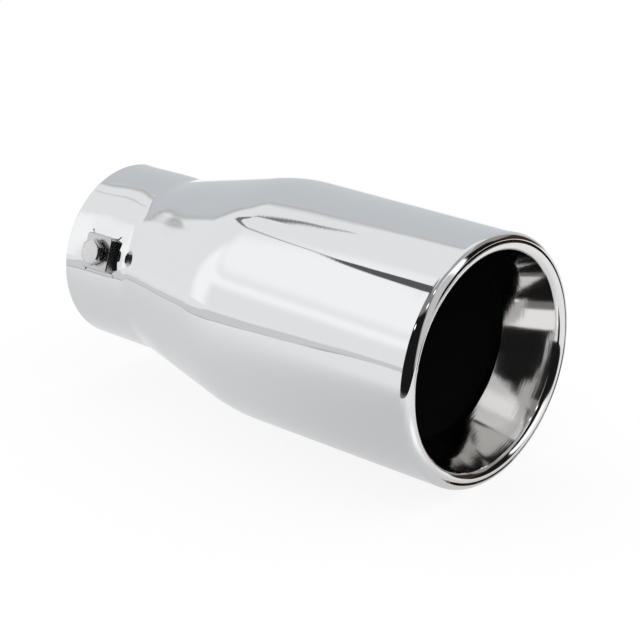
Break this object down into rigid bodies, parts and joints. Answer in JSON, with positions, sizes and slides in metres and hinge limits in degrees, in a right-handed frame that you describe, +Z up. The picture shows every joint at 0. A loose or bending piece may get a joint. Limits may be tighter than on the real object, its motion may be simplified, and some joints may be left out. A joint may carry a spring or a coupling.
{
  "type": "exhaust tip",
  "caption": "Clamp-on double-wall exhaust tip: a straight collar flares to a wide polished body with a rolled rim and an inner cone, held to the tail pipe by a bolt in a pressed boss.",
  "frame": {"origin": "centre of the inlet collar's open end, on the tip's axis", "axes": "+X along the tip's axis towards the outlet, +Z up as the tip lies or is fitted, the clamp bolt on the -Y side, raised above the horizontal"},
  "size_m": [0.2001, 0.1016, 0.1016],
  "materials": {
    "polished_shell": "mirror-polished stainless steel sheet",
    "polished_liner": "polished stainless steel sheet with faint spinning lines",
    "plated_nut": "zinc-plated steel",
    "plated_bolt": "zinc-plated steel",
    "weld_metal": "small weld bead, heat tinted"
  },
  "bodies": {
    "root": {"outer_shell": "polished_shell", "inner_liner": "polished_liner", "square_nut": "plated_nut", "clamp_bolt": "plated_bolt", "seam_tack": "weld_metal"}
  },
  "joints": []
}
